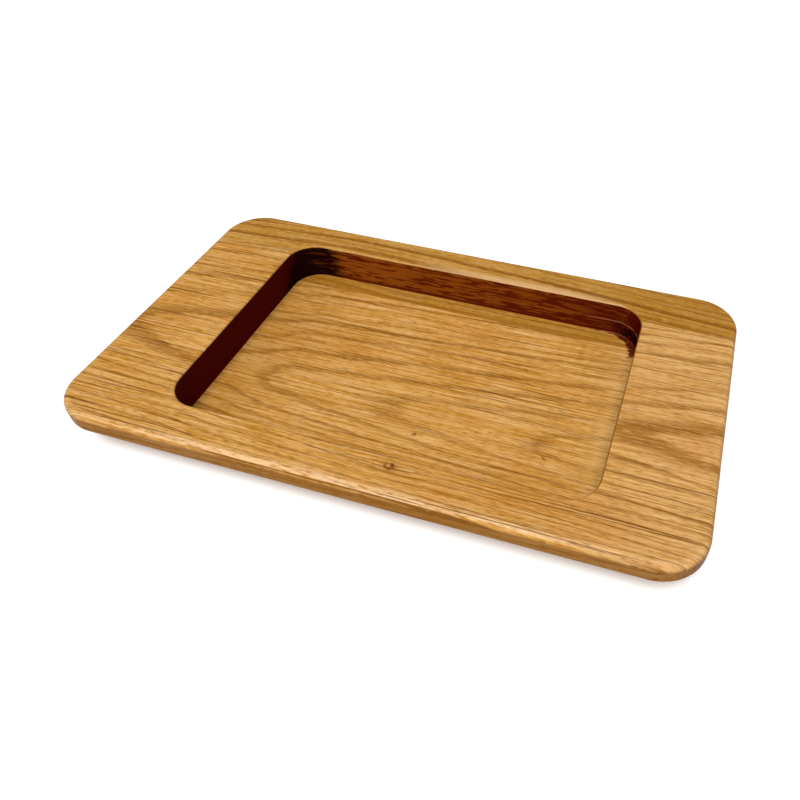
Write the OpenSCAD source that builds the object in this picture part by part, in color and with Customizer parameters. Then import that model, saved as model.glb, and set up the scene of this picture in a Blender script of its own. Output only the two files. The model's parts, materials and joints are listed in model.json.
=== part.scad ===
// Serving tray: a thick oak board with a wide recess routed into its top face.
// The board is glued up edge to edge from two staves, and each stave is one node.
// Millimetres. +X runs along the grain, +Z points up, and the origin is the centre of the underside.

/* [Board] */
// Length of the tray, along the grain
tray_length = 300; // [250:1:400]
// Width of the tray, across the grain
tray_width = 176; // [166:1:240]
// Thickness of the board
tray_height = 25.5; // [25.5:0.5:36]
// Radius of the four corners, seen from above
corner_radius = 21.5; // [18:0.5:36]

/* [Edges] */
// Radius of the rounding round the top edge
top_round = 3.5; // [1:0.5:6]
// Height and inset of the 45 degree finger bevel under the edge
finger_bevel = 16; // [6:0.5:16.5]

/* [Recess] */
// Length of the recess
recess_length = 203; // [120:1:214]
// Width of the recess
recess_width = 134; // [80:1:136]
// Depth of the recess below the top face
recess_depth = 19.5; // [8:0.5:21]
// Radius of the recess's upright corners
recess_radius = 15; // [8:0.5:30]
// Rounding of the arris where the recess's walls meet the top face
lip_round = 0.8; // [0.2:0.1:1.5]

/* [Glue line] */
// Width of the narrow stave along the rear edge
rear_stave_width = 31.5; // [24:0.5:40]

/* [Hidden] */
$fn = 96;

// Where the two staves meet.
glue_line_y = tray_width / 2 - rear_stave_width;
// How far a cutting block reaches past the board.
cut_margin = 5;

// Section through the board's edge, measured outwards from the upright axis of a corner:
// a bevel that leans outwards from the underside, an upright band and a rounded top.
module board_edge() {
    band_top = tray_height - top_round;
    polygon([
        [0, 0],
        [corner_radius - finger_bevel, 0],
        [corner_radius, finger_bevel],
        [corner_radius, band_top],
        [0, band_top],
    ]);
    translate([0, band_top]) square([corner_radius - top_round, top_round]);
    translate([corner_radius - top_round, band_top]) intersection() {
        circle(top_round);
        square(top_round);
    }
}

// Section through the space that the router clears, measured outwards from the upright axis of a corner.
// The lip flares outwards, and the cut carries on above the board.
module recess_edge() {
    flared_radius = recess_radius + lip_round;
    square([recess_radius, recess_depth]);
    translate([recess_radius, recess_depth - lip_round]) difference() {
        square(lip_round);
        translate([lip_round, 0]) circle(lip_round);
    }
    translate([0, recess_depth]) square([flared_radius, cut_margin]);
}

// A slab of the given plan size, whose edge follows the section drawn by its child.
// Four straight edges and four turned corners stand round a plain core, face to face.
module edged_slab(length, width, radius, height) {
    straight_x = length - 2 * radius;
    straight_y = width - 2 * radius;
    translate([-straight_x / 2, -straight_y / 2, 0]) cube([straight_x, straight_y, height]);
    for (turn = [0, 180]) rotate(turn) {
        translate([straight_x / 2, straight_y / 2, 0]) rotate([90, 0, 0])
            linear_extrude(straight_y) children();
        translate([-straight_x / 2, straight_y / 2, 0]) rotate([90, 0, 90])
            linear_extrude(straight_x) children();
        translate([straight_x / 2, straight_y / 2, 0]) rotate_extrude(angle = 90) children();
        translate([-straight_x / 2, straight_y / 2, 0]) rotate(90) rotate_extrude(angle = 90) children();
    }
}

// The whole board, before the recess is routed.
module board() {
    edged_slab(tray_length, tray_width, corner_radius, tray_height) board_edge();
}

// The space that the router clears out of the board.
module recess() {
    translate([0, 0, tray_height - recess_depth])
        edged_slab(recess_length, recess_width, recess_radius, recess_depth + cut_margin) recess_edge();
}

// The part of the finished tray that lies between two upright planes along the grain.
module stave(front_y, rear_y) {
    intersection() {
        difference() {
            board();
            recess();
        }
        translate([-tray_length / 2 - cut_margin, front_y, -cut_margin])
            cube([tray_length + 2 * cut_margin, rear_y - front_y, tray_height + 2 * cut_margin]);
    }
}

// Wide stave: the front rim, most of both end rims and most of the recess floor.
module main_stave() {
    color("peru") stave(-tray_width / 2 - cut_margin, glue_line_y);
}

// Narrow stave: the rear rim, the rear wall and a strip of the recess floor.
module rear_stave() {
    color("burlywood") stave(glue_line_y, tray_width / 2 + cut_margin);
}

main_stave();
rear_stave();
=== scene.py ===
import json
import math

import bmesh
import bpy
from mathutils import Matrix, Vector, noise


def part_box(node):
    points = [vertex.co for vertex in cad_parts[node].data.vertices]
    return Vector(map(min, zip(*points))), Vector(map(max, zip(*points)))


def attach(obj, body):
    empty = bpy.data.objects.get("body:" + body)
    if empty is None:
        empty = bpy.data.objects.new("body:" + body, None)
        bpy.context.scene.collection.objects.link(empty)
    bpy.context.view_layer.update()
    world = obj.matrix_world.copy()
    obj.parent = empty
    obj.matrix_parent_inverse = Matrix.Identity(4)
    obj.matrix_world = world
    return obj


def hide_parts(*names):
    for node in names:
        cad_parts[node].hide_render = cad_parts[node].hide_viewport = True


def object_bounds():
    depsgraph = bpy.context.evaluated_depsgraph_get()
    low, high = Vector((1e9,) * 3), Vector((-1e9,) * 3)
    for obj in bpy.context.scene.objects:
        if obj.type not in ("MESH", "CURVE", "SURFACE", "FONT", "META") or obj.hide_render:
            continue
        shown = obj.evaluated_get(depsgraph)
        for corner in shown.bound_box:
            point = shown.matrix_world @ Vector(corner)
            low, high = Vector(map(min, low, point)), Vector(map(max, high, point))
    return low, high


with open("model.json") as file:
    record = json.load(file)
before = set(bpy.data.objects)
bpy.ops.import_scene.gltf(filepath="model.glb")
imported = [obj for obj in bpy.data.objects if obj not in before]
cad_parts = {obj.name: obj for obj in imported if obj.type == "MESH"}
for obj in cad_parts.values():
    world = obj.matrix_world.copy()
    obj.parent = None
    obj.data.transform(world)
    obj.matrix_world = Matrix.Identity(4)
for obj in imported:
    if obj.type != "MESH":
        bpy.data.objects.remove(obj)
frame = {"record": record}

# A serving tray: an oak board glued up from two staves, with a wide recess routed into its top.
# Shapes are in metres, and the materials work in millimetres of the same frame.
MM = 0.001

# ---------------------------------------------------------------- the frame
cad_low, cad_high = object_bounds()
main_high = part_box("main_stave")[1]
floor_mount = next(m for m in frame["record"]["mounts"] if m["name"] == "recess_floor")

TRAY_LENGTH = cad_high.x - cad_low.x
TRAY_WIDTH = cad_high.y - cad_low.y
TRAY_TOP = cad_high.z
GLUE_LINE_Y = main_high.y
CORNER_RADIUS = 21.5 * MM
TOP_ROUND = 3.5 * MM
FINGER_BEVEL = 16.0 * MM
BEVEL_ARRIS = 1.2 * MM
RECESS_LENGTH = 203.0 * MM
RECESS_WIDTH = 134.0 * MM
RECESS_RADIUS = 15.0 * MM
RECESS_X, RECESS_Y, RECESS_FLOOR = floor_mount["pos_m"]
LIP_ROUND = 0.8 * MM
FLOOR_FILLET = 0.3 * MM
# A ledge that the last pass of the cutter left along the rear wall, at this height and this deep.
LEDGE_Z = RECESS_FLOOR + 8.5 * MM
LEDGE_DEPTH = 0.12 * MM
# How far in from the board's outline a face still counts as its edge.
EDGE_BELT = 6.0 * MM
# Half the width of the fine groove that shows along the glue line.
GROOVE_REACH = 0.3 * MM
# Points this close to the glue line lie on it.
ON_GLUE_LINE = 0.01 * MM

# Heights in millimetres, as the materials measure them.
TOP_MM = TRAY_TOP / MM
FLOOR_MM = RECESS_FLOOR / MM
# The grain hardly changes over the depth of the top rounding, so above this height it is taken from here.
GRAIN_TOP = (TRAY_TOP - TOP_ROUND) / MM

# Pin knots, in millimetres: the place where each comes to the surface, how far the grain bows round it
# along and across, by how much, and the radius of its heart.
RIM_KNOT = {"at": (13.9, -72.4, 25.5), "reach": (17.0, 6.5), "push": 2.8, "heart": 2.1}
FLOOR_KNOT = {"at": (9.4, -36.5, 6.0), "reach": (7.0, 2.6), "push": 0.8, "heart": 0.9}
KNOTS = (RIM_KNOT, FLOOR_KNOT)


# ---------------------------------------------------------------- shape
def rounded_outline(length, width, radius, centre, grow, corner_steps=16):
    """Points anticlockwise round a grown rounded rectangle. Their number is the same for any size."""
    half_x = length / 2 - radius
    half_y = width / 2 - radius
    points = []
    for quarter, (side_x, side_y) in enumerate(((1, 1), (-1, 1), (-1, -1), (1, -1))):
        for step in range(corner_steps + 1):
            angle = math.pi / 2 * (quarter + step / corner_steps)
            points.append((
                centre[0] + side_x * half_x + (radius + grow) * math.cos(angle),
                centre[1] + side_y * half_y + (radius + grow) * math.sin(angle),
            ))
    return points


def arc(start, end, steps):
    """Angles in radians from start to end degrees, both included."""
    return [math.radians(start + (end - start) * i / steps) for i in range(steps + 1)]


def outside(grow, z):
    """A ring of points round the board's edge."""
    outline = rounded_outline(TRAY_LENGTH, TRAY_WIDTH, CORNER_RADIUS, (0, 0), grow)
    return [(x, y, z) for x, y in outline]


def inside(grow, z):
    """A ring of points round the recess's wall."""
    centre = (RECESS_X, RECESS_Y)
    outline = rounded_outline(RECESS_LENGTH, RECESS_WIDTH, RECESS_RADIUS, centre, grow)
    return [(x, y, z) for x, y in outline]


def board_rings():
    """Rings from the underside up over the board's edge, and down over the lip to the recess's floor."""
    bevel_top = FINGER_BEVEL - BEVEL_ARRIS * (1 - math.sqrt(0.5))
    band_base = FINGER_BEVEL + BEVEL_ARRIS * math.tan(math.radians(22.5))
    band_top = TRAY_TOP - TOP_ROUND
    lip_base = TRAY_TOP - LIP_ROUND
    wall_foot = RECESS_FLOOR + FLOOR_FILLET
    bevel_steps = 6
    wall_steps = 24
    rings = [
        outside(bevel_top * i / bevel_steps - FINGER_BEVEL, bevel_top * i / bevel_steps)
        for i in range(bevel_steps)
    ]
    rings += [
        outside(BEVEL_ARRIS * (math.cos(a) - 1), band_base + BEVEL_ARRIS * math.sin(a))
        for a in arc(-45, 0, 4)
    ]
    rings += [
        outside(TOP_ROUND * (math.cos(a) - 1), band_top + TOP_ROUND * math.sin(a))
        for a in arc(0, 90, 10)
    ]
    rings += [
        inside(LIP_ROUND * (1 - math.sin(a)), lip_base + LIP_ROUND * math.cos(a))
        for a in arc(0, 90, 6)
    ]
    rings += [
        inside(0, lip_base + (wall_foot - lip_base) * i / wall_steps)
        for i in range(1, wall_steps + 1)
    ]
    rings += [
        inside(-FLOOR_FILLET * (1 - math.cos(a)), wall_foot - FLOOR_FILLET * math.sin(a))
        for a in arc(45, 90, 1)
    ]
    return rings


def cuts_along(low, high, spacing, fine_places, fine_reach, fine_spacing):
    """Where to cut an axis: evenly, and closer together round the fine places."""
    count = max(1, round((high - low) / spacing))
    cuts = {round(low + (high - low) * i / count, 6) for i in range(1, count)}
    for place in fine_places:
        steps = round(fine_reach / fine_spacing)
        cuts |= {round(place + i * fine_spacing, 6) for i in range(-steps, steps + 1)}
    return sorted(c for c in cuts if low < c < high)


def whole_board():
    """The routed board as one closed mesh, sliced finely enough to carve small marks into."""
    bm = bmesh.new()
    rings = [[bm.verts.new(p) for p in ring] for ring in board_rings()]
    for lower, upper in zip(rings, rings[1:]):
        count = len(lower)
        for i in range(count):
            j = (i + 1) % count
            bm.faces.new((lower[i], lower[j], upper[j], upper[i]))
    bm.faces.new(list(reversed(rings[0])))
    bm.faces.new(rings[-1])
    spacing = 3 * MM
    knot_reach = 4 * MM
    knot_spacing = 0.5 * MM
    knot_x = [knot["at"][0] * MM for knot in KNOTS]
    knot_y = [knot["at"][1] * MM for knot in KNOTS]
    x_cuts = cuts_along(cad_low.x, cad_high.x, spacing, knot_x, knot_reach, knot_spacing)
    y_cuts = cuts_along(cad_low.y, cad_high.y, spacing, knot_y, knot_reach, knot_spacing)
    y_cuts += [GLUE_LINE_Y - GROOVE_REACH, GLUE_LINE_Y, GLUE_LINE_Y + GROOVE_REACH]
    for axis, cuts in ((Vector((1, 0, 0)), x_cuts), (Vector((0, 1, 0)), y_cuts)):
        for cut in cuts:
            everything = bm.verts[:] + bm.edges[:] + bm.faces[:]
            bmesh.ops.bisect_plane(bm, geom=everything, dist=1e-7, plane_co=axis * cut, plane_no=axis)
    bm.normal_update()
    return bm


def on_recess_wall(point):
    """Whether a point of the skin lies on the recess's upright wall, between its floor and its lip."""
    within_x = abs(point.x - RECESS_X) < RECESS_LENGTH / 2 + LIP_ROUND
    within_y = abs(point.y - RECESS_Y) < RECESS_WIDTH / 2 + LIP_ROUND
    return within_x and within_y and RECESS_FLOOR < point.z < TRAY_TOP - LIP_ROUND


def carved_height(point):
    """How far sanding, knots, the glue line and the cutter's ledge raise the skin, in millimetres."""
    p = point / MM
    height = 0.04 * noise.noise(Vector((p.x / 45, p.y / 22, p.z / 30)))
    height += 0.02 * noise.noise(Vector((p.x / 14, p.y / 5, p.z / 9 + 7)))
    for knot in KNOTS:
        kx, ky, kz = knot["at"]
        if abs(p.z - kz) < 1.0:
            away = math.hypot(p.x - kx, p.y - ky) / knot["heart"]
            height -= 0.2 * math.exp(-away * away)
    if abs(point.y - GLUE_LINE_Y) < ON_GLUE_LINE:
        height -= 0.05
    if on_recess_wall(point) and point.y > 0 and point.z < LEDGE_Z:
        height += LEDGE_DEPTH / MM
    return height


def carve(bm):
    """Moves every point of the skin along its normal by its carved height, inside the CAD box."""
    moved = []
    for v in bm.verts:
        place = v.co + v.normal * carved_height(v.co) * MM
        moved.append([min(max(c, low), high) for c, low, high in zip(place, cad_low, cad_high)])
    for v, place in zip(bm.verts, moved):
        if abs(v.co.y - GLUE_LINE_Y) < ON_GLUE_LINE:
            place[1] = GLUE_LINE_Y
        v.co = place


def on_matt_skin(face):
    """Whether a face belongs to the burnished wall, or to the outside under the top rounding."""
    centre = face.calc_center_median()
    beyond = max(abs(centre.x) - cad_high.x, abs(centre.y) - cad_high.y)
    on_outside = beyond > -EDGE_BELT or face.normal.z < -0.5
    under_rounding = centre.z < TRAY_TOP - TOP_ROUND
    upright = abs(face.normal.z) < 0.8
    return (on_outside and under_rounding) or (on_recess_wall(centre) and upright)


def stave(board, name, keep_front, skin, matt):
    """The part of the board on one side of the glue line, closed there by its glue face."""
    bm = board.copy()
    everything = bm.verts[:] + bm.edges[:] + bm.faces[:]
    cut = bmesh.ops.bisect_plane(
        bm, geom=everything, dist=1e-6, plane_co=(0, GLUE_LINE_Y, 0), plane_no=(0, 1, 0),
        clear_outer=keep_front, clear_inner=not keep_front,
    )
    rim = [e for e in cut["geom_cut"] if isinstance(e, bmesh.types.BMEdge)]
    rim = rim or [e for e in bm.edges if e.is_boundary]
    face = bmesh.ops.holes_fill(bm, edges=rim)["faces"]
    bmesh.ops.triangulate(bm, faces=face)
    bmesh.ops.recalc_face_normals(bm, faces=bm.faces[:])
    for f in bm.faces:
        f.material_index = int(on_matt_skin(f))
    mesh = bpy.data.meshes.new(name)
    bm.to_mesh(mesh)
    bm.free()
    mesh.shade_smooth()
    mesh.set_sharp_from_angle(angle=math.radians(40))
    mesh.materials.append(skin)
    mesh.materials.append(matt)
    piece = bpy.data.objects.new(name, mesh)
    bpy.context.scene.collection.objects.link(piece)
    return piece


# ---------------------------------------------------------------- node trees
class Field:
    """A number that varies over a surface. Arithmetic on it adds Math nodes to its tree."""

    def __init__(self, graph, socket):
        self.graph = graph
        self.socket = socket

    def __add__(self, other):
        return self.graph.math("ADD", self, other)

    __radd__ = __add__

    def __sub__(self, other):
        return self.graph.math("SUBTRACT", self, other)

    def __rsub__(self, other):
        return self.graph.math("SUBTRACT", other, self)

    def __mul__(self, other):
        return self.graph.math("MULTIPLY", self, other)

    __rmul__ = __mul__

    def __truediv__(self, other):
        return self.graph.math("DIVIDE", self, other)


class Graph:
    """One material's node tree."""

    def __init__(self, name):
        self.material = bpy.data.materials.new(name)
        self.material.use_nodes = True
        self.tree = self.material.node_tree
        self.tree.nodes.clear()

    def feed(self, socket, value):
        source = value.socket if isinstance(value, Field) else value
        if isinstance(source, bpy.types.NodeSocket):
            self.tree.links.new(source, socket)
        else:
            socket.default_value = source

    def node(self, kind, inputs, **settings):
        made = self.tree.nodes.new("ShaderNode" + kind)
        for key, value in settings.items():
            setattr(made, key, value)
        for key, value in inputs.items():
            self.feed(made.inputs[key], value)
        return made

    def math(self, operation, *values):
        made = self.node("Math", dict(enumerate(values)), operation=operation)
        return Field(self, made.outputs[0])

    def place_mm(self):
        """The point's x, y and z in the tray's own frame, in millimetres."""
        coordinates = self.node("TexCoord", {})
        split = self.node("SeparateXYZ", {0: coordinates.outputs["Object"]})
        return [Field(self, out) / MM for out in split.outputs]

    def facing(self):
        """The x and y of the surface's own direction."""
        geometry = self.node("NewGeometry", {})
        split = self.node("SeparateXYZ", {0: geometry.outputs["Normal"]})
        return [Field(self, out) for out in split.outputs[:2]]

    def hypot(self, a, b):
        """The distance of the point a, b from the origin."""
        return self.math("SQRT", a * a + b * b)

    def larger(self, a, b):
        return self.math("MAXIMUM", a, b)

    def smaller(self, a, b):
        return self.math("MINIMUM", a, b)

    def smooth(self, value, low, high):
        """0 below low and 1 above high, with a smooth step between them."""
        inputs = {"Value": value, "From Min": low, "From Max": high}
        made = self.node("MapRange", inputs, interpolation_type="SMOOTHSTEP")
        return Field(self, made.outputs[0])

    def band(self, value, low, high, soft):
        """1 between low and high, and 0 outside them."""
        return self.smooth(value, low - soft, low) * (1.0 - self.smooth(value, high, high + soft))

    def noise(self, x, y, z, detail=2.0, roughness=0.5, distortion=0.0):
        """Noise from 0 to 1 whose lumps are about one unit across."""
        vector = self.node("CombineXYZ", {0: x, 1: y, 2: z})
        inputs = {
            "Vector": vector.outputs[0], "Scale": 1.0, "Detail": detail,
            "Roughness": roughness, "Distortion": distortion,
        }
        return Field(self, self.node("TexNoise", inputs).outputs[0])

    def random(self, value):
        """A random number from 0 to 1 for each whole value."""
        made = self.node("TexWhiteNoise", {"W": value}, noise_dimensions="1D")
        return Field(self, made.outputs["Value"])

    def dashes(self, x, y, z, share, seed):
        """Spindles scattered in a share of unit cells, from 0 to 1."""
        vector = self.node("CombineXYZ", {0: x + seed, 1: y, 2: z})
        cells = self.node("TexVoronoi", {"Vector": vector.outputs[0], "Scale": 1.0})
        draw = self.node("SeparateColor", {0: cells.outputs["Color"]})
        present = self.math("LESS_THAN", draw.outputs[0], share)
        return (1.0 - self.smooth(cells.outputs["Distance"], 0.16, 0.36)) * present

    def blend(self, share, below, above):
        """Colour above laid over colour below by its share."""
        made = self.node("Mix", {0: share, 6: below, 7: above}, data_type="RGBA")
        return Field(self, made.outputs[2])

    def finish(self, colour, roughness, height, distance, gloss, glow=0.0):
        """Joins everything to one shader and its bump."""
        bump = self.node("Bump", {"Strength": 1.0, "Distance": distance, "Height": height})
        shader = self.node("BsdfPrincipled", {
            "Base Color": colour, "Roughness": roughness, "Normal": bump.outputs[0],
            "IOR": 1.47, "Specular IOR Level": gloss,
            "Emission Color": (1, 1, 1, 1), "Emission Strength": glow,
        })
        output = self.node("OutputMaterial", {})
        self.tree.links.new(shader.outputs[0], output.inputs["Surface"])
        return self.material


# ---------------------------------------------------------------- oak
# How deep the pores look in the light.
PORE_DEPTH = 0.022 * MM
# Linear colours of oiled oak.
PALE = (0.69, 0.400, 0.145, 1)
GOLDEN = (0.49, 0.218, 0.024, 1)
BROWN = (0.26, 0.096, 0.0030, 1)
PORE = (0.14, 0.044, 0.0010, 1)
ORANGE = (0.46, 0.165, 0.016, 1)
OLIVE = (0.34, 0.168, 0.010, 1)
# CREAM is painted highlight and glare, on the rim, the front rounding and the lip.
CREAM = (0.76, 0.500, 0.270, 1)
KNOT_DARK = (0.11, 0.028, 0.0020, 1)
KNOT_RIM = (0.20, 0.060, 0.0030, 1)
KNOT_HALO = (0.30, 0.105, 0.014, 1)
# UNDER_EDGE is painted shade for the edge band and the end faces.
UNDER_EDGE = (0.17, 0.060, 0.0015, 1)
BURNISHED = (0.26, 0.067, 0.0050, 1)
# MAROON is the wall's burnish and painted shade, and the soot's red.
MAROON = (0.078, 0.0019, 0.0005, 1)
SCORCH = (0.010, 0.0009, 0.0005, 1)
TOOL_LINE = (0.43, 0.190, 0.095, 1)

# How each stave was sawn, in millimetres.
# Rings: where the tree's heart lies, how it climbs along the board, where it takes a step and how high,
# how much wider its years are behind the heart, and the width of a year.
# Fibres: how they lean at the front and at the rear, how they arch along the rim, and how far they swing
# aside low down at the left.
# Colour: how olive the wood is, how strong its rings are, how much painted glare pales the rim's right end,
# and how dark it is beside the glue line and at its right end.
MAIN_WOOD = {
    "heart_y": -21.5, "heart_z": -44.0, "climb": 0.033, "step": 1.4, "step_span": (-93.0, -69.0),
    "eccentric": 0.30, "ring": 2.8,
    "lean": (-0.01, 0.01), "lean_span": (-80.0, 50.0), "arch": 0.0, "arch_x": 0.0, "swing": 0.0,
    "olive": 0.05, "band": 0.85, "bleach": 0.18, "dark": 0.0,
    "seed": 3.0, "knots": KNOTS,
}
REAR_WOOD = {
    "heart_y": 40.0, "heart_z": -50.0, "climb": 0.0, "step": 0.0, "step_span": (0.0, 1.0),
    "eccentric": 0.0, "ring": 4.2,
    "lean": (0.0, 0.0), "lean_span": (50.0, 90.0), "arch": 0.078, "arch_x": -55.0, "swing": 6.0,
    "olive": 0.55, "band": 1.5, "bleach": 0.0, "dark": 1.0,
    "seed": 41.0, "knots": (),
}
# A splinter pressed into the recess's floor, in millimetres: its middle, half its length, half its width
# and its slant.
FLECK = {"at": (72.4, -32.5), "reach": 2.2, "breadth": 0.32, "slant": math.radians(-45)}


def recess_distance(g, x, y):
    """Distance outwards from the recess's wall in plan, in millimetres, and below 0 inside it."""
    qx = g.math("ABSOLUTE", x - RECESS_X / MM) - (RECESS_LENGTH / 2 - RECESS_RADIUS) / MM
    qy = g.math("ABSOLUTE", y - RECESS_Y / MM) - (RECESS_WIDTH / 2 - RECESS_RADIUS) / MM
    outer = g.hypot(g.larger(qx, 0.0), g.larger(qy, 0.0))
    inner = g.smaller(g.larger(qx, qy), 0.0)
    return outer + inner - RECESS_RADIUS / MM


def bowed_round(g, x, y, z, knot, wood):
    """How far a knot pushes the grain aside, and the distance from its heart in heart radii."""
    kx, ky, kz = knot["at"]
    kz = min(kz, GRAIN_TOP)
    slope = (ky - wood["heart_y"]) / (kz - wood["heart_z"])
    centre_y = (z - kz) * slope + ky
    along = (x - kx) / knot["reach"][0]
    across = (y - centre_y) / knot["reach"][1]
    fade = g.math("EXPONENT", (along * along + across * across) * -1.0)
    side = across / g.math("SQRT", across * across + 0.12)
    off_x = (x - kx) / (knot["heart"] * 1.3)
    off_y = (y - centre_y) / knot["heart"]
    wobble = g.noise(x / 1.3, y / 1.3, z / 1.3) * 0.7
    away = g.hypot(off_x, off_y) + wobble - 0.35
    return side * fade * knot["push"] * (0.65 - side * 0.35), away


def follow_grain(g, x, y, z, wood):
    """The point's place across the fibres, and its distance from each knot."""
    grain_y = y
    hearts = []
    for knot in wood["knots"]:
        push, away = bowed_round(g, x, y, z, knot, wood)
        grain_y = grain_y - push
        hearts.append((knot, away))
    front, rear = wood["lean"]
    lean = g.smooth(y, *wood["lean_span"]) * (rear - front) + front
    sway = (g.noise(x / 190 + wood["seed"], y / 60, z / 60) - 0.5) * 3.0
    arch_x = x - wood["arch_x"]
    high = g.smooth(z, 12.0, 20.0)
    crown = 40.0
    arch = (g.math("SQRT", arch_x * arch_x + crown * crown) - crown) * wood["arch"] * high
    swing = (1.0 - g.smooth(x, -95.0, -30.0)) * wood["swing"] * (1.0 - high)
    return grain_y - lean * x + sway + arch - swing, hearts


def springwood(g, x, grain_y, z, wood):
    """How far the point lies in the porous start of a year, from 0 to 1, and how brown that year is."""
    seed = wood["seed"]
    step = g.smooth(x, *wood["step_span"]) * wood["step"]
    off_z = z - wood["heart_z"] - x * wood["climb"] - step
    off_y = grain_y - wood["heart_y"]
    off_y = off_y * (1.0 - g.smooth(off_y, 5.0, 45.0) * wood["eccentric"])
    radius = g.hypot(off_y, off_z)
    radius = radius + (g.noise(x / 120 + seed, grain_y / 30, z / 30) - 0.5) * 2.0
    radius = radius + (g.noise(x / 45 + seed, grain_y / 5, z / 5) - 0.5) * 1.2
    radius = radius + (g.noise(x / 35, grain_y / 1.1, z / 1.1 + seed) - 0.5) * 0.8
    years = radius / wood["ring"] + g.noise(radius / 8, seed, 0.0) * 1.2
    year = g.math("FLOOR", years)
    share = g.math("FRACT", years)
    vigour = g.random(year + seed)
    mood = g.random(year + seed + 0.37)
    fade = 1.0 - g.smooth(share, vigour * 0.15 + 0.08, vigour * 0.3 + 0.34)
    return g.smooth(share, 0.0, 0.08) * fade, mood


def pores(g, x, grain_y, z, spring, seed):
    """Vessels cut along their length: short spindles, crowded in the springwood, and long thin lines."""
    fine = g.dashes(x / 6.0, grain_y / 0.42, z / 0.80, spring * 0.35 + 0.38, seed)
    coarse = g.dashes(x / 30.0, grain_y / 0.55, z / 1.20, spring * 0.40 + 0.10, seed + 0.5)
    line = g.noise(x / 90 + seed, grain_y / 0.75, z / 1.5, detail=1.0) + spring * 0.05
    broken = g.smooth(g.noise(x / 4, grain_y / 0.5, z + seed, detail=1.0), 0.20, 0.45)
    long_line = g.smooth(line, 0.62, 0.68) * (broken * 0.5 + 0.5)
    return g.larger(g.larger(fine * 0.75, coarse * 0.70), long_line * 0.90)


class Spot:
    """The point being shaded: its place in millimetres, in the recess and in the wood."""

    def __init__(self, g, wood):
        self.wood = wood
        self.seed = wood["seed"]
        self.x, self.y, self.z = g.place_mm()
        self.nx, self.ny = g.facing()
        self.place_in_recess(g)
        self.place_in_wood(g)

    def place_in_recess(self, g):
        """Shares from 0 to 1 for the parts of the tray, and noises that the scorched places share."""
        self.distance = recess_distance(g, self.x, self.y)
        self.outer_skin = g.smooth(self.distance, 2.0, 4.0)
        self.on_rim = g.smooth(self.z, FLOOR_MM + 0.5, FLOOR_MM + 2.0)
        self.near_rear = g.smooth(self.y, 34.0, 56.0)
        below_lip = 1.0 - g.smooth(self.z, TOP_MM - 0.9, TOP_MM - 0.6)
        above_floor = g.smooth(self.z, FLOOR_MM - 0.3, FLOOR_MM)
        self.on_wall = g.band(self.distance, -0.25, 0.5, 0.12) * above_floor * below_lip
        self.on_floor = 1.0 - g.smooth(self.z, FLOOR_MM + 0.2, FLOOR_MM + 0.4)
        brush_x = self.x / 16 + self.seed
        self.brush = g.noise(brush_x, self.y / 16, self.z / 1.7, detail=4.0, roughness=0.7)
        blotch_x = self.x / 5 + self.seed
        self.blotch = g.noise(blotch_x, self.y / 5, self.z / 3.2, detail=4.0, roughness=0.7)

    def place_in_wood(self, g):
        """Where the point lies in the grain, and the grain's own streaks, fibres and pores there."""
        x, seed, wood = self.x, self.seed, self.wood
        level = g.smaller(self.z, GRAIN_TOP)
        grain_y, self.hearts = follow_grain(g, x, self.y, level, wood)
        self.spring, self.mood = springwood(g, x, grain_y, level, wood)
        self.streak = g.noise(x / 30 + seed, grain_y / 1.3, level / 2.2, detail=4.0, roughness=0.62)
        self.fibre = g.noise(x / 5 + seed, grain_y / 0.50, level, detail=2.0)
        self.pore = pores(g, x, grain_y, level, self.spring, seed)
        self.grain_y = grain_y
        self.level = level


def bare_wood(g, spot):
    """Pale and golden fibres, brown springwood, slow drifts of warmth, and painted glare that pales the
    rim's right end.
    """
    wood = spot.wood
    colour = g.blend(g.smooth(spot.streak, 0.30, 0.66), PALE, GOLDEN)
    drift = g.noise(spot.x / 90 + spot.seed, spot.y / 28, spot.level / 28 + 5.0, detail=3.0)
    colour = g.blend(g.smooth(drift, 0.45, 0.75) * 0.4, colour, ORANGE)
    colour = g.blend(wood["olive"], colour, OLIVE)
    # Painted glare: the rim turns paler and creamier towards its right end.
    colour = g.blend(spot.on_rim * g.smooth(spot.x, 70.0, 130.0) * wood["bleach"], colour, CREAM)
    colour = g.blend(g.smooth(spot.streak, 0.54, 0.70) * 0.40, colour, BROWN)
    colour = g.blend(spot.spring * (spot.mood * 0.6 + 0.25) * wood["band"], colour, BROWN)
    colour = g.blend(g.smooth(spot.fibre, 0.51, 0.70) * 0.52, colour, BROWN)
    return g.blend((1.0 - g.smooth(spot.fibre, 0.30, 0.47)) * 0.50, colour, PALE)


def uneven_tone_and_painted_light(g, spot, colour):
    """Darkens the floor's left end and parts of the rear stave, and paints light on the floor's right end
    against the right wall's shade.
    """
    low = 1.0 - spot.on_rim
    colour = g.blend(low * (1.0 - g.smooth(spot.x, -98.0, -45.0)) * 0.28, colour, BROWN)
    # Painted light: the floor beside the right wall is made paler against the wall's shade.
    colour = g.blend(low * g.smooth(spot.x, 86.0, 101.0) * 0.35, colour, PALE)
    glue_band = low * (g.band(spot.grain_y, 56.0, 58.6, 1.4) * 0.45 + 0.25)
    right_rim = spot.on_rim * g.smooth(spot.x, 10.0, 90.0) * 0.24
    return g.blend((glue_band + right_rim) * spot.wood["dark"], colour, BROWN)


def painted_front_highlight(g, spot, colour):
    """A painted highlight makes the front of the top rounding pale, most of all in the middle, broken up by
    the grain.
    """
    front = g.band(spot.ny * -1.0, 0.10, 0.75, 0.10)
    on_rounding = g.smooth(spot.z, GRAIN_TOP + 1.0, GRAIN_TOP + 2.2)
    middle = g.band(spot.x, -70.0, 60.0, 70.0) * 0.50 + 0.20
    grain_breakup = 1.0 - g.smooth(spot.fibre + spot.streak, 0.90, 1.30)
    return g.blend(front * on_rounding * spot.outer_skin * middle * grain_breakup, colour, CREAM)


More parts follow.
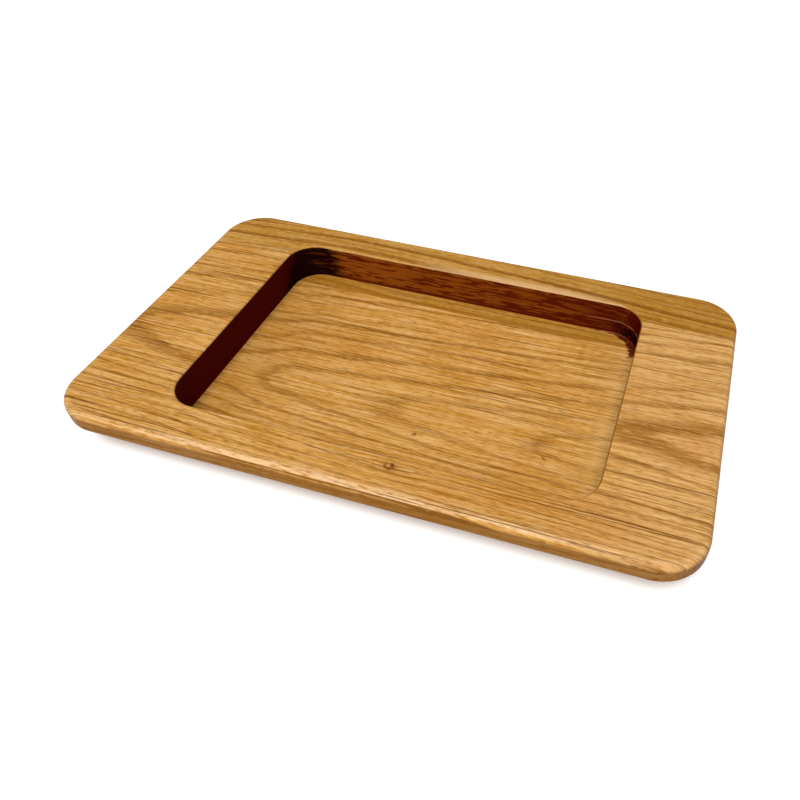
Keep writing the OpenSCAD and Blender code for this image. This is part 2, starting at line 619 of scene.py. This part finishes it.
def oiled_ends_and_painted_shade(g, spot, colour):
    """Painted shade darkens the edge band below the top rounding; the end faces are darker from oiled end
    grain and from painted shade.
    """
    end_grain = g.smooth(g.math("ABSOLUTE", spot.nx), 0.45, 0.95)
    colour = g.blend(end_grain * spot.outer_skin * 0.6, colour, UNDER_EDGE)
    shaded_band = 1.0 - g.smooth(spot.z, GRAIN_TOP, GRAIN_TOP + 1.8)
    colour = g.blend(shaded_band * spot.outer_skin * 0.75, colour, UNDER_EDGE)
    # The deepest painted shade, where the edge band meets the end faces.
    return g.blend(shaded_band * spot.outer_skin * end_grain * 0.5, colour, KNOT_DARK)


def knot_marks(g, spot, colour):
    """A halo round a brown heart, in it a paler island that leaves a crescent, and one dark speck."""
    for knot, away in spot.hearts:
        colour = g.blend((1.0 - g.smooth(away, 0.8, 2.2)) * 0.40, colour, KNOT_HALO)
        swirl = g.noise(spot.x / 0.8, spot.y / 0.7, spot.z / 0.8, detail=3.0, distortion=1.5)
        island_x = (spot.x - knot["at"][0]) / knot["heart"] + 0.30
        island_y = (spot.y - knot["at"][1]) / knot["heart"] - 0.22
        island = g.hypot(island_x, island_y)
        dark = (1.0 - g.smooth(away, 0.75, 1.15)) * g.smooth(island + swirl * 0.5, 0.55, 0.85)
        colour = g.blend(dark * 0.85, colour, KNOT_RIM)
        speck = 1.0 - g.smooth(g.hypot(island_x - 0.85, island_y - 0.25), 0.15, 0.50)
        colour = g.blend(speck * 0.85, colour, KNOT_DARK)
    return colour


def fleck_mark(g, spot):
    """The splinter's narrow spindle on the floor, from 0 to 1."""
    away_x = spot.x - FLECK["at"][0]
    away_y = spot.y - FLECK["at"][1]
    c = math.cos(FLECK["slant"])
    s = math.sin(FLECK["slant"])
    along = (away_x * c + away_y * s) / FLECK["reach"]
    across = (away_y * c - away_x * s) / FLECK["breadth"]
    return (1.0 - g.smooth(along * along + across * across, 0.3, 1.0)) * spot.on_floor


def painted_lip_light_and_shade(g, spot, colour):
    """Painted highlights make the rim and the lip pale behind the rear wall, and painted shade makes the
    lip dark at the right wall.
    """
    beside_lip = (1.0 - g.smooth(spot.distance, 1.5, 6.0)) * g.smooth(spot.distance, 0.3, 0.8)
    rim_highlight = beside_lip * g.band(spot.x, 0.0, 55.0, 40.0) * spot.near_rear
    on_top = g.smooth(spot.z, TOP_MM - 0.5, TOP_MM - 0.2)
    colour = g.blend(rim_highlight * on_top * 0.42, colour, CREAM)
    lip = g.band(spot.distance, -0.1, 0.75, 0.1) * g.smooth(spot.z, TOP_MM - 0.75, TOP_MM - 0.45)
    along_rear = g.smooth(spot.x, -75.0, 10.0) * 0.4 + 0.1
    colour = g.blend(lip * g.smooth(spot.ny * -1.0, 0.1, 0.6) * along_rear, colour, CREAM)
    return g.blend(lip * g.smooth(spot.nx * -1.0, 0.1, 0.5), colour, BROWN)


def burnished_and_shaded_wall(g, spot, colour):
    """The wall is burnished red-brown and streaked, and darker at its foot, its seam and its right end. Its
    end-grain sides are maroon, partly darker end grain and partly painted shade.
    """
    wall_x = spot.x / 15 + spot.seed
    streak = g.noise(wall_x, spot.grain_y / 2.0, spot.z / 1.5, detail=4.0, roughness=0.66)
    wander = (g.noise(spot.x / 20, spot.seed, spot.z / 20) - 0.5) * 2.4
    foot = 1.0 - g.smooth(spot.z + wander, FLOOR_MM + 1.2, FLOOR_MM + 3.0)
    seam = g.band(spot.z + wander, TOP_MM - 3.4, TOP_MM - 3.0, 0.5) * 0.8
    rightwards = g.smooth(spot.x, -70.0, 95.0)
    burn = g.smooth(streak + rightwards * 0.06, 0.50, 0.58)
    wall = g.blend(g.larger(burn, g.larger(foot, seam)) * 0.85, BURNISHED, MAROON)
    wall = g.blend(rightwards * 0.30 + g.smooth(spot.x, 50.0, 85.0) * 0.30, wall, MAROON)
    # The end-grain sides are painted maroon: partly darker end grain, partly painted shade.
    wall = g.blend(g.smooth(g.math("ABSOLUTE", spot.nx), 0.30, 0.90), wall, MAROON)
    return g.blend(spot.on_wall, colour, wall)


def scorched_corners(g, spot, colour):
    """The wall's rear corners are scorched: brushed on the left, and blotched low down on the right."""
    fingers = spot.x + spot.brush * 34.0
    wedge = g.smooth(spot.y - (spot.z - FLOOR_MM) * 0.8, 36.0, 48.0)
    left = (1.0 - g.smooth(fingers, -66.0, -57.0)) * wedge
    left = left * (g.smooth(spot.brush, 0.36, 0.48) * 0.35 + 0.65)
    low = 1.0 - g.smooth(spot.z, FLOOR_MM + 5.0, FLOOR_MM + 13.0)
    right = g.smooth(spot.x, 80.0, 96.0) * spot.near_rear
    right = right * g.smooth(spot.blotch + low * 0.22, 0.58, 0.74)
    return g.blend(g.larger(left, right * 0.92) * spot.on_wall, colour, SCORCH)


def cutter_lines(g, spot, colour):
    """The cutter's last pass left two thin, broken, pale lines round the wall's right rear corner."""
    corner = g.smooth(spot.x, 66.0, 88.0) * spot.near_rear
    upper = g.band(spot.z, LEDGE_Z / MM - 0.15, LEDGE_Z / MM + 0.15, 0.15)
    lower = g.band(spot.z, FLOOR_MM - 0.1, FLOOR_MM + 0.3, 0.2)
    broken = g.smooth(g.noise(spot.x / 4, spot.y / 4, spot.z, detail=2.0), 0.30, 0.55)
    lines = g.larger(upper, lower) * corner * broken
    return g.blend(lines * spot.on_wall * 0.75, colour, TOOL_LINE)


def floor_burn(g, spot, colour):
    """The cutter also burnt the floor beside the right rear corner, in tongues along the grain."""
    tongue_x = spot.x / 11.0 + spot.seed
    tongues = g.noise(tongue_x, spot.y / 1.1, spot.seed, detail=4.0, roughness=0.7)
    reach = g.smooth(spot.x, 80.0, 97.0) * 3.8 + (tongues - 0.5) * 8.0 + 0.6
    near_wall = g.smooth(spot.distance + reach, 0.0, 0.8) * (1.0 - g.smooth(spot.distance, -0.3, 0.0))
    in_corner = g.smooth(spot.x, 70.0, 78.0) * g.smooth(spot.y + spot.blotch * 8.0, 52.0, 55.0)
    burnt = near_wall * spot.on_floor * in_corner * (g.smooth(spot.blotch, 0.35, 0.5) * 0.15 + 0.82)
    soot = g.blend(g.smooth(spot.brush, 0.45, 0.65), MAROON, SCORCH)
    return g.blend(burnt, colour, soot)


def oak(name, wood, gloss):
    """Oiled oak as a solid: rings, pores and streaks run right through it and meet at every arris."""
    g = Graph(name)
    spot = Spot(g, wood)
    colour = bare_wood(g, spot)
    # Tone of the wood, and painted light on the floor beside the right wall.
    colour = uneven_tone_and_painted_light(g, spot, colour)
    # Painted highlight on the front of the top rounding.
    colour = painted_front_highlight(g, spot, colour)
    colour = g.blend(spot.pore * 0.85, colour, PORE)
    # Painted shade on the edge band and the end faces, with the darker oiled end grain.
    colour = oiled_ends_and_painted_shade(g, spot, colour)
    colour = knot_marks(g, spot, colour)
    colour = g.blend(fleck_mark(g, spot), colour, PORE)
    # The lip's painted highlight and shade, and the wall's burnish with its painted shade, come before the
    # burn marks.
    for mark in (painted_lip_light_and_shade, burnished_and_shaded_wall, scorched_corners, cutter_lines, floor_burn):
        colour = mark(g, spot, colour)
    roughness = spot.pore * 0.25 + spot.streak * 0.12 + 0.33 + spot.on_wall * 0.2
    height = spot.streak * 0.35 + spot.fibre * 0.3 - spot.pore * 0.9 - spot.spring * 0.35
    return g.finish(colour, roughness, height, PORE_DEPTH, gloss)


# ---------------------------------------------------------------- the tray
board = whole_board()
carve(board)
for piece_name, node_name, keep_front, wood in (
    ("main_stave_oak", "main_stave", True, MAIN_WOOD),
    ("rear_stave_oak", "rear_stave", False, REAR_WOOD),
):
    skin = oak("oiled_" + node_name, wood, gloss=0.10)
    matt = oak("matt_" + node_name, wood, gloss=0.03)
    piece = stave(board, piece_name, keep_front, skin, matt)
    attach(piece, "root")
    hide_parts(node_name)
    "oak_" + node_name
board.free()


# ---------------------------------------------------------------- stage, light and camera
PAPER = (0.95, 0.95, 0.95, 1)
PAPER_TOOTH = (0.90, 0.90, 0.90, 1)


def pale_floor():
    """A wide, pale, matt floor, lit a little from below so that the contact shadow stays faint."""
    half_size = 4.0
    mesh = bpy.data.meshes.new("floor")
    mesh.from_pydata(
        [(x * half_size, y * half_size, 0) for x, y in ((-1, -1), (1, -1), (1, 1), (-1, 1))],
        [],
        [(0, 1, 2, 3)],
    )
    g = Graph("floor_paper")
    x, y, z = g.place_mm()
    tooth = g.noise(x / 3.0, y / 3.0, z, detail=3.0)
    colour = g.blend(tooth * 0.2, PAPER, PAPER_TOOTH)
    mesh.materials.append(g.finish(colour, 0.9, tooth, 0.02 * MM, 0.2, glow=0.12))
    floor = bpy.data.objects.new("floor", mesh)
    bpy.context.scene.collection.objects.link(floor)


def soft_key(name, towards, spread, strength):
    """A wide, distant soft box in a direction, whose light is as strong all over the floor."""
    data = bpy.data.lights.new(name, "SUN")
    data.angle = math.radians(spread)
    data.energy = strength
    lamp = bpy.data.objects.new(name, data)
    lamp.rotation_euler = Vector(towards).to_track_quat("Z", "Y").to_euler()
    bpy.context.scene.collection.objects.link(lamp)


def pale_world(strength):
    """An even, pale surrounding."""
    world = bpy.data.worlds.new("studio")
    world.use_nodes = True
    background = world.node_tree.nodes["Background"]
    background.inputs["Color"].default_value = (1, 1, 1, 1)
    background.inputs["Strength"].default_value = strength
    bpy.context.scene.world = world


def camera(azimuth, elevation, roll, distance, slide, lens, shift):
    """A camera round the origin. Angles are in degrees. slide moves it to its right and up, in metres."""
    a = math.radians(azimuth)
    e = math.radians(elevation)
    back = Vector((math.sin(a) * math.cos(e), -math.cos(a) * math.cos(e), math.sin(e)))
    level_right = Vector((0, 0, 1)).cross(back).normalized()
    level_up = back.cross(level_right)
    tilt = Matrix.Rotation(-math.radians(roll), 3, -back)
    right = tilt @ level_right
    up = tilt @ level_up
    data = bpy.data.cameras.new("camera")
    data.lens = lens
    data.sensor_width = 36.0
    data.shift_x, data.shift_y = shift
    holder = bpy.data.objects.new("camera", data)
    place = back * distance + right * slide[0] + up * slide[1]
    rotation = Matrix((right, up, back)).transposed().to_4x4()
    holder.matrix_world = Matrix.Translation(place) @ rotation
    bpy.context.scene.collection.objects.link(holder)
    bpy.context.scene.camera = holder


pale_floor()
soft_key("key", towards=(0.0, -0.50, 1.0), spread=30.0, strength=3.2)
pale_world(strength=0.33)
camera(
    azimuth=15.49, elevation=47.14, roll=1.62, distance=0.3682,
    slide=(0.0426, -0.0164), lens=31.72, shift=(-0.1322, 0.0240),
)
bpy.context.scene.view_settings.view_transform = "Standard"
